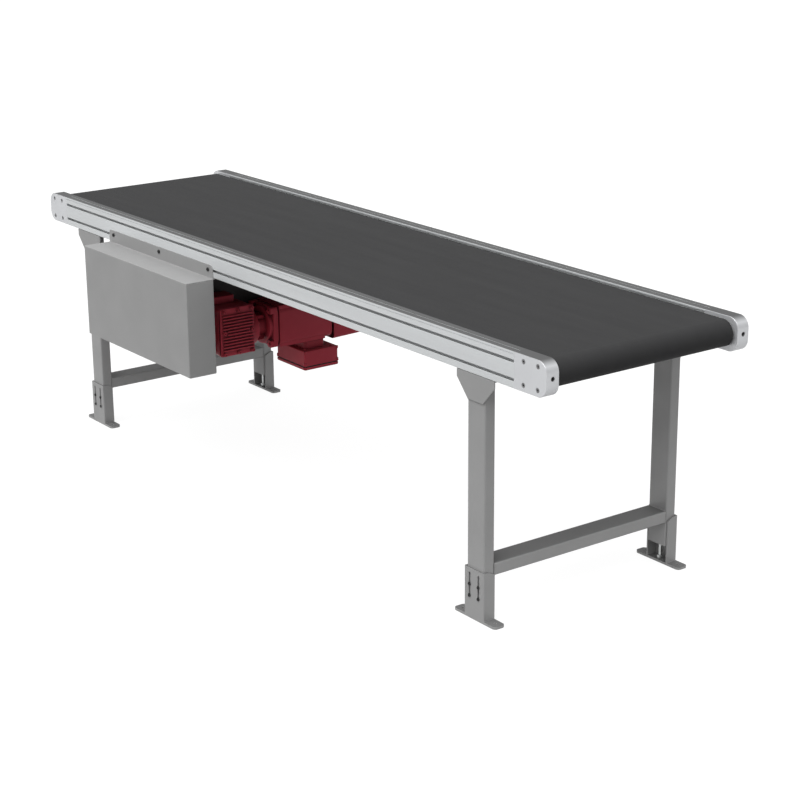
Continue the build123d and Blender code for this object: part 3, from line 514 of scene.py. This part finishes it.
def cut(piece, tool):
    """Takes the tool's shape out of the piece, and the tool away."""
    run_modifier(piece, "BOOLEAN", operation="DIFFERENCE", solver="EXACT", object=tool)
    bpy.data.objects.remove(tool)


def join(name, pieces):
    hold(pieces[0])
    for piece in pieces:
        piece.select_set(True)
    bpy.ops.object.join()
    bpy.context.object.name = name
    return bpy.context.object


def face_out(piece):
    """Turns every face outwards."""
    choose(piece, "FACE", lambda f: True)
    bpy.ops.mesh.normals_make_consistent(inside=False)
    let_go()


def copy_of(piece, name, step=(0, 0, 0), mirror=None):
    """A copy with its own mesh, moved by a step, or mirrored across a middle plane of the conveyor."""
    hold(piece)
    bpy.ops.object.duplicate()
    twin = bpy.context.object
    twin.location = step
    if mirror:
        twin.scale[AXIS[mirror]] = -1
    settle(name)
    if mirror:
        face_out(twin)
    return twin


def soften(piece, width=0.0008, steps=2, angle=35):
    """A small rounding on every sharp edge."""
    run_modifier(
        piece, "BEVEL", width=width, segments=steps, limit_method="ANGLE", angle_limit=math.radians(angle),
        use_clamp_overlap=True,
    )


def fit(piece, surface, body, slot, *nodes):
    """Smooth shading, the finish, the body it rides on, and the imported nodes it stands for."""
    hold(piece)
    bpy.ops.object.shade_smooth_by_angle(angle=math.radians(38))
    run_modifier(piece, "WEIGHTED_NORMAL", keep_sharp=True, weight=60)
    piece.data.materials.clear()
    piece.data.materials.append(FINISHES[surface])
    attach(piece, body)
    if nodes:
        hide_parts(*nodes)


# ---------------------------------------------------------------- guard over the belt drive
SHEET = 0.002
GUARD_TOP = 0.7635


def make_guard_cover():
    """Folded sheet cover: front and sides from one blank, a top with the flange that bolts to the profile."""
    low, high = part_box("guard_cover")
    back = high.y - SHEET
    cover = block("guard_cover_sheet", low, (high.x, back, GUARD_TOP))
    take_away(cover, lambda f: looks(f, "+Y"))
    rear_top = lambda e: (
        runs_along(e, "X") and middle_of(e).z > GUARD_TOP - 1e-4 and middle_of(e).y > back - 1e-4
    )
    draw_out(cover, "EDGE", rear_top, (0, 0, high.z - GUARD_TOP))
    round_corners(cover, lambda v: v.co.z > high.z - 1e-4, 0.014)
    front = lambda e: max(v.co.y for v in e.verts) < low.y + 1e-4
    round_edges(cover, lambda e: front(e) or rear_top(e), 0.003, 4)
    run_modifier(cover, "SOLIDIFY", thickness=SHEET, offset=-1, use_even_offset=True)
    for x in (low.x, high.x):
        seam = block(
            "seam",
            (x - 0.0009, low.y + 0.005, GUARD_TOP - 0.0034),
            (x + 0.0009, back + 0.001, GUARD_TOP - 0.0022),
        )
        cut(cover, seam)
    soften(cover, 0.0003, 1, 50)
    fit(cover, "guard_paint", "frame", "guard_paint", "guard_cover")


# ---------------------------------------------------------------- gearmotor
MOTOR_X = -0.415
MOTOR_Z = 0.524
COVER_BACK = -0.341
RIB_PITCH = 0.0114
EDGE_BOSSES = [(y, z) for y in (-0.318, -0.259, -0.203) for z in (0.4615, 0.6185)]
SIDE_BOSSES = [(-0.318, 0.540), (-0.203, 0.540)]


def make_gear_housing():
    """Cast housing with a joint rim at the cover, an output hub, mounting pads and oil plugs."""
    low = (-0.492, -0.335, 0.453)
    high = (-0.341, -0.190, 0.627)
    housing = block("housing", low, high)
    round_edges(housing, lambda e: runs_along(e, "X"), 0.014, 6)
    round_ring(housing, "X", low[0], 0.007, 4)
    rim = block("rim", (-0.352, -0.3355, 0.4515), (-0.341, -0.1905, 0.6285))
    round_edges(rim, lambda e: runs_along(e, "X"), 0.013, 6)
    round_ring(rim, "X", -0.352, 0.002, 2)
    parts = [housing, rim]
    hub = bar("hub", "Y", 0.056, -0.343, -0.320, (MOTOR_X, MOTOR_Z), 64)
    round_ring(hub, "Y", -0.343, 0.003)
    nose = bar("nose", "Y", 0.040, -0.369, -0.340, (MOTOR_X, MOTOR_Z), 64)
    round_ring(nose, "Y", -0.369, 0.003)
    parts += [hub, nose]
    chamber = block("chamber", (-0.488, -0.322, 0.620), (MOTOR_X, -0.222, 0.653))
    round_edges(chamber, lambda e: runs_along(e, "Z"), 0.010, 5)
    round_ring(chamber, "Z", 0.653, 0.004, 3)
    parts.append(chamber)
    pad = block("pad", (-0.4998, -0.319, 0.469), (-0.488, -0.293, 0.495))
    round_edges(pad, lambda e: runs_along(e, "X"), 0.005, 4)
    for step in ((0, 0.087, 0), (0, 0, 0.116), (0, 0.087, 0.116)):
        parts.append(copy_of(pad, "pad", step))
    parts.append(pad)
    rib = block("rib", (-0.480, -0.3365, 0.470), (-0.358, -0.332, 0.476))
    round_ring(rib, "Y", -0.3365, 0.0015, 2)
    parts += [copy_of(rib, "rib", (0, 0, 0.130)), rib]
    for z in (0.478, 0.602):
        plug = bar("plug", "X", 0.009, -0.4985, -0.490, (-0.262, z), 6)
        round_ring(plug, "X", -0.4985, 0.001, 2)
        seat = bar("seat", "X", 0.012, -0.4935, -0.490, (-0.262, z), 32)
        parts += [plug, seat]
    housing = join("gear_housing_casting", parts)
    fit(housing, "gear_paint", "frame", "gear_paint", "gear_housing")


def make_gear_cover():
    """Ribbed cover with bosses for its screws."""
    cover = block("cover", (COVER_BACK, -0.3325, 0.453), (COVER_BACK + 0.005, -0.1930, 0.627))
    round_edges(cover, lambda e: runs_along(e, "X"), 0.011, 6)
    round_ring(cover, "X", COVER_BACK + 0.005, 0.0016, 3)
    first = block("rib", (COVER_BACK + 0.003, -0.3245, 0.473), (COVER_BACK + 0.014, -0.1975, 0.4782))
    round_edges(first, lambda e: runs_along(e, "X"), 0.0025, 4)
    parts = [cover, first]
    short = block("rib", (COVER_BACK + 0.003, -0.3070, 0.473), (COVER_BACK + 0.014, -0.2140, 0.4782))
    round_edges(short, lambda e: runs_along(e, "X"), 0.0025, 4)
    for rib in (first, short):
        round_ring(rib, "X", COVER_BACK + 0.014, 0.0018, 3)
    for index in range(1, 12):
        parts.append(copy_of(short if index in (5, 6) else first, "rib", (0, 0, index * RIB_PITCH)))
    bpy.data.objects.remove(short)
    for y, z in EDGE_BOSSES + SIDE_BOSSES:
        boss = bar("boss", "X", 0.0076, COVER_BACK + 0.002, COVER_BACK + 0.011, (y, z), 32)
        round_ring(boss, "X", COVER_BACK + 0.011, 0.0012, 2)
        cut(boss, bar("bore", "X", 0.0041, COVER_BACK + 0.001, COVER_BACK + 0.012, (y, z), 24))
        parts.append(boss)
    cover = join("gear_cover_casting", parts)
    fit(cover, "gear_paint", "frame", "gear_paint", "gear_cover")


def make_motor_adaptor():
    """Turned adaptor between gear unit and motor, with its ring of bolts."""
    disc = bar("disc", "Y", 0.066, -0.190, -0.160, (MOTOR_X, MOTOR_Z), 72)
    round_ring(disc, "Y", -0.160, 0.003)
    neck = bar("neck", "Y", 0.044, -0.162, -0.120, (MOTOR_X, MOTOR_Z), 72)
    parts = [disc, neck]
    for index in range(8):
        angle = math.radians(22.5 + 45 * index)
        across = (MOTOR_X + 0.059 * math.cos(angle), MOTOR_Z + 0.059 * math.sin(angle))
        bolt = bar("bolt", "Y", 0.0055, -0.161, -0.155, across, 6)
        round_ring(bolt, "Y", -0.155, 0.0007, 2)
        parts.append(bolt)
    for index in range(4):
        angle = math.radians(45 + 90 * index)
        web = block(
            "web",
            (MOTOR_X + 0.040, -0.165, MOTOR_Z - 0.003),
            (MOTOR_X + 0.0635, -0.120, MOTOR_Z + 0.003),
        )
        choose(
            web, "EDGE",
            lambda e: runs_along(e, "Z") and middle_of(e).x > MOTOR_X + 0.06 and middle_of(e).y > -0.13,
        )
        bpy.ops.mesh.bevel(offset=0.013, segments=1, affect="EDGES")
        bpy.ops.mesh.select_all(action="SELECT")
        bpy.ops.transform.rotate(value=angle, orient_axis="Y", center_override=(MOTOR_X, 0, MOTOR_Z))
        let_go()
        parts.append(web)
    adaptor = join("motor_adaptor_casting", parts)
    fit(adaptor, "gear_paint", "frame", "gear_paint", "motor_adaptor")


def make_motor_flange():
    """Front bearing shield: a round face, a squared plate and four bolt lugs."""
    face = bar("face", "Y", 0.070, -0.120, -0.100, (MOTOR_X, MOTOR_Z), 72)
    round_ring(face, "Y", -0.120, 0.003)
    plate = block(
        "plate",
        (MOTOR_X - 0.074, -0.106, MOTOR_Z - 0.074),
        (MOTOR_X + 0.074, -0.0855, MOTOR_Z + 0.074),
    )
    round_edges(plate, lambda e: runs_along(e, "Y"), 0.026, 10)
    round_ring(plate, "Y", -0.106, 0.003)
    round_ring(plate, "Y", -0.0855, 0.0015, 2)
    parts = [face, plate]
    for dx in (-0.062, 0.062):
        for dz in (-0.062, 0.062):
            x, z = MOTOR_X + dx, MOTOR_Z + dz
            lug = block("lug", (x - 0.013, -0.119, z - 0.013), (x + 0.013, -0.090, z + 0.013))
            round_edges(lug, lambda e: runs_along(e, "Y"), 0.008, 5)
            round_ring(lug, "Y", -0.119, 0.0015, 2)
            head = bar("head", "Y", 0.0065, -0.1255, -0.118, (x, z), 6)
            round_ring(head, "Y", -0.1255, 0.0008, 2)
            parts += [lug, head]
    flange = join("motor_flange_casting", parts)
    fit(flange, "gear_paint", "frame", "gear_paint", "motor_flange")


def make_motor_housing():
    """Smooth squared motor frame with a ledge along its top and bottom and the neck of the terminal box."""
    half_x, half_z = 0.078, 0.076
    frame_body = block(
        "frame",
        (MOTOR_X - half_x, -0.0825, MOTOR_Z - half_z),
        (MOTOR_X + half_x, 0.145, MOTOR_Z + half_z),
    )
    round_edges(frame_body, lambda e: runs_along(e, "Y"), 0.026, 10)
    round_ring(frame_body, "Y", -0.0825, 0.0018, 3)
    round_ring(frame_body, "Y", 0.145, 0.0018, 3)
    spigot = bar("spigot", "Y", 0.062, -0.086, -0.080, (MOTOR_X, MOTOR_Z), 64)
    neck = block("neck", (MOTOR_X - 0.062, 0.034, 0.4145), (MOTOR_X + 0.062, 0.122, 0.460))
    round_edges(neck, lambda e: runs_along(e, "Z"), 0.012, 5)
    parts = [frame_body, spigot, neck]
    for low_z in (MOTOR_Z - 0.078, MOTOR_Z + 0.062):
        ledge = block("ledge", (MOTOR_X - 0.074, -0.0815, low_z), (MOTOR_X + 0.074, 0.118, low_z + 0.016))
        round_edges(ledge, lambda e: runs_along(e, "Y") or runs_along(e, "Z"), 0.003, 3)
        parts.append(ledge)
    for x in (MOTOR_X - 0.074, MOTOR_X + 0.074):
        for y in (0.026, 0.140):
            bolt = bar("bolt", "Z", 0.0048, 0.4145, 0.4195, (x, y), 6)
            round_ring(bolt, "Z", 0.4195, 0.0006, 2)
            parts.append(bolt)
    housing = join("motor_frame_casting", parts)
    fit(housing, "gear_paint", "frame", "gear_paint", "motor_housing")


def make_terminal_box():
    """Cast terminal box with a flange for its lid, and the dished lid under it."""
    low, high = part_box("terminal_box")
    box = block("box", (low.x, low.y, low.z + 0.0016), high)
    round_edges(box, lambda e: runs_along(e, "Z"), 0.006, 5)
    round_ring(box, "Z", high.z, 0.0025, 3)
    parts = [box]
    for x in (low.x + 0.004, high.x - 0.004):
        for y in (low.y + 0.004, high.y - 0.004):
            lug = bar("lug", "Z", 0.0068, low.z + 0.0016, low.z + 0.013, (x, y), 28)
            round_ring(lug, "Z", low.z + 0.013, 0.0018, 3)
            top = bar("lug", "Z", 0.0062, high.z - 0.009, high.z, (x, y), 28)
            round_ring(top, "Z", high.z, 0.0015, 2)
            parts += [lug, top]
    box = join("terminal_box_casting", parts)
    fit(box, "gear_paint", "frame", "gear_paint", "terminal_box")

    gasket = block(
        "terminal_box_gasket",
        (low.x + 0.0015, low.y + 0.0015, low.z - 0.0024),
        (high.x - 0.0015, high.y - 0.0015, low.z + 0.0018),
    )
    round_edges(gasket, lambda e: runs_along(e, "Z"), 0.006, 5)
    fit(gasket, "drive_rubber", "frame", "drive_rubber")

    low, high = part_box("terminal_box_lid")
    lid = block("lid", (low.x, low.y, low.z + 0.0012), (high.x, high.y, high.z - 0.0022))
    round_edges(lid, lambda e: runs_along(e, "Z"), 0.008, 5)
    round_ring(lid, "Z", low.z + 0.0012, 0.0045, 2)
    for x in (low.x + 0.011, high.x - 0.011):
        for y in (low.y + 0.011, high.y - 0.011):
            cut(lid, bar("pocket", "Z", 0.0053, low.z - 0.002, low.z + 0.004, (x, y), 28))
    panel = block(
        "panel",
        (low.x + 0.022, low.y + 0.022, low.z),
        (high.x - 0.022, high.y - 0.022, low.z + 0.003),
    )
    round_edges(panel, lambda e: runs_along(e, "Z"), 0.006, 5)
    round_ring(panel, "Z", low.z, 0.001, 2)
    lid = join("terminal_box_lid_casting", [lid, panel])
    fit(lid, "gear_paint", "frame", "gear_paint", "terminal_box_lid")


# ---------------------------------------------------------------- leg frames
LEG_X = 1.187
LEG_HALF = 0.040
LEG_OUTER = 0.391
LEG_INNER = 0.351
LEG_FOOT = 0.064
HEAD_LOW = 0.763
BAR_LOW = 0.144
BAR_HIGH = 0.184


def weld_run(start, end, radius=0.0026):
    """A row of overlapping weld ripples from one point to another."""
    span = Vector(end) - Vector(start)
    pitch = 0.0034
    let_go()
    bpy.ops.mesh.primitive_uv_sphere_add(segments=8, ring_count=5, radius=radius, location=start)
    ripple = settle("ripple")
    count = int(span.length / pitch) + 1
    step = span.normalized() * pitch
    run_modifier(
        ripple, "ARRAY", count=count, use_relative_offset=False, use_constant_offset=True,
        constant_offset_displace=step,
    )
    return ripple


def make_leg_frame(word, sign):
    """Welded frame: two square-cornered tubes, a cross bar, and the plates that hang it from the profiles."""
    x = sign * LEG_X
    tube = block("tube", (x - LEG_HALF, -LEG_OUTER, LEG_FOOT), (x + LEG_HALF, -LEG_INNER, HEAD_LOW))
    take_away(tube, lambda f: looks(f, "-Z") or looks(f, "+Z"))
    round_edges(tube, lambda e: runs_along(e, "Z"), 0.0055, 5)
    run_modifier(tube, "SOLIDIFY", thickness=0.003, offset=-1, use_even_offset=True)
    plate = block("plate", (x - 0.087, -0.395, 0.744), (x + 0.087, -LEG_OUTER, 0.7672))
    draw_out(plate, "FACE", lambda f: looks(f, "-Z"), (0, 0, -0.058), (35 / 87, 1, 1), (x, -0.393, 0.686))
    soften(plate, 0.0007, 2)
    head = block("head", (x - 0.087, -LEG_OUTER, HEAD_LOW), (x + 0.087, -0.349, 0.7675))
    soften(head, 0.0007, 2)
    parts = [tube, plate, head]
    corner = 0.0048
    parts.append(weld_run((x - 0.036, -0.3912, 0.686 - 0.0012), (x + 0.036, -0.3912, 0.686 - 0.0012), 0.0022))
    for y in (-LEG_OUTER + corner, -LEG_INNER - corner):
        parts.append(weld_run(
            (x - LEG_HALF + corner, y + (0.0044 if y > -0.37 else 0.0), HEAD_LOW - 0.0005),
            (x + LEG_HALF - corner, y + (0.0044 if y > -0.37 else 0.0), HEAD_LOW - 0.0005),
        ))
    for z in (BAR_LOW - 0.0004, BAR_HIGH + 0.0004):
        parts.append(weld_run(
            (x - LEG_HALF + corner, -LEG_INNER + 0.0006, z),
            (x + LEG_HALF - corner, -LEG_INNER + 0.0006, z),
        ))
    for edge in (-1, 1):
        side = x + edge * (LEG_HALF + 0.0002)
        parts.append(weld_run(
            (side, -LEG_INNER + 0.0002, BAR_LOW + 0.003),
            (side, -LEG_INNER + 0.0002, BAR_HIGH - 0.003),
            0.0022,
        ))
    near = join("near half", parts)
    far = copy_of(near, "far half", mirror="Y")
    cross = block("cross", (x - LEG_HALF, -LEG_INNER, BAR_LOW), (x + LEG_HALF, LEG_INNER, BAR_HIGH))
    round_edges(cross, lambda e: runs_along(e, "Y"), 0.005, 5)
    whole = join(f"leg_frame_{word}_welded", [near, far, cross])
    fit(whole, "frame_paint", "frame", "frame_paint", f"leg_frame_{word}")


make_guard_cover()
make_gear_housing()
make_gear_cover()
make_motor_adaptor()
make_motor_flange()
make_motor_housing()
make_terminal_box()
make_leg_frame("right", 1)
make_leg_frame("left", -1)


# ---------------------------------------------------------------- stage, light and camera
FLOOR_SIZE = 240.0
FLOOR_SHADE = 0.14
FLOOR_GLOW = 0.93
SKY_LOW = 0.32
SKY_HIGH = 0.98
bpy.ops.object.select_all(action="DESELECT")
bpy.ops.mesh.primitive_plane_add(size=FLOOR_SIZE, location=(0, 0, 0))
floor = bpy.context.object
floor.name = "studio_floor"
paper = bpy.data.materials.new("White studio floor")
paper.use_nodes = True
sheet = paper.node_tree
sheet.nodes.clear()
ray = add(sheet, "LightPath")
lit = math_node(sheet, "MAXIMUM", ray.outputs["Is Camera Ray"], ray.outputs["Is Glossy Ray"])
paper_shader = add(
    sheet, "BsdfPrincipled", None,
    {
        "Base Color": grey(FLOOR_SHADE), "Roughness": 1.0, "Specular IOR Level": 0.0,
        "Emission Color": grey(1.0),
        "Emission Strength": math_node(sheet, "MULTIPLY", lit, FLOOR_GLOW),
    },
)
sheet.links.new(paper_shader.outputs[0], add(sheet, "OutputMaterial").inputs[0])
floor.data.materials.append(paper)

world = bpy.data.worlds.new("Studio")
bpy.context.scene.world = world
world.use_nodes = True
sky = world.node_tree
sky.nodes.clear()
ray = add(sky, "LightPath")
place = add(sky, "TexCoord")
height = add(sky, "SeparateXYZ", None, {0: place.outputs["Generated"]})
rise = add(
    sky, "MapRange", None,
    {"Value": height.outputs["Z"], "From Max": 0.9, "To Min": SKY_LOW, "To Max": SKY_HIGH},
)
studio = add(sky, "Background", None, {"Color": (1, 1, 1, 1)})
sky.links.new(rise.outputs[0], studio.inputs["Strength"])
backdrop = add(sky, "Background", None, {"Color": (1, 1, 1, 1), "Strength": 1.0})
seen = add(sky, "MixShader")
sky.links.new(ray.outputs["Is Camera Ray"], seen.inputs[0])
sky.links.new(studio.outputs[0], seen.inputs[1])
sky.links.new(backdrop.outputs[0], seen.inputs[2])
sky.links.new(seen.outputs[0], add(sky, "OutputWorld").inputs[0])

sun_data = bpy.data.lights.new("Key light", "SUN")
sun_data.energy = 1.9
sun_data.angle = math.radians(60)
sun = bpy.data.objects.new("Key light", sun_data)
bpy.context.scene.collection.objects.link(sun)
sun.rotation_euler = Vector((-0.16, 0.52, -1.0)).to_track_quat("-Z", "Y").to_euler()

CAMERA_PLACE = Vector((5.29447, -3.67925, 2.36573))
HEADING = math.radians(53.721)
TILT = math.radians(17.661)
ROLL = math.radians(-0.458)
camera_data = bpy.data.cameras.new("Camera")
camera_data.lens = 85.885
camera_data.sensor_width = 36
camera_data.clip_end = 500
camera = bpy.data.objects.new("Camera", camera_data)
bpy.context.scene.collection.objects.link(camera)
turn = (
    Matrix.Rotation(HEADING, 4, "Z")
    @ Matrix.Rotation(math.pi / 2 - TILT, 4, "X")
    @ Matrix.Rotation(ROLL, 4, "Z")
)
camera.matrix_world = Matrix.Translation(CAMERA_PLACE) @ turn
bpy.context.scene.camera = camera
bpy.context.scene.view_settings.view_transform = "Standard"
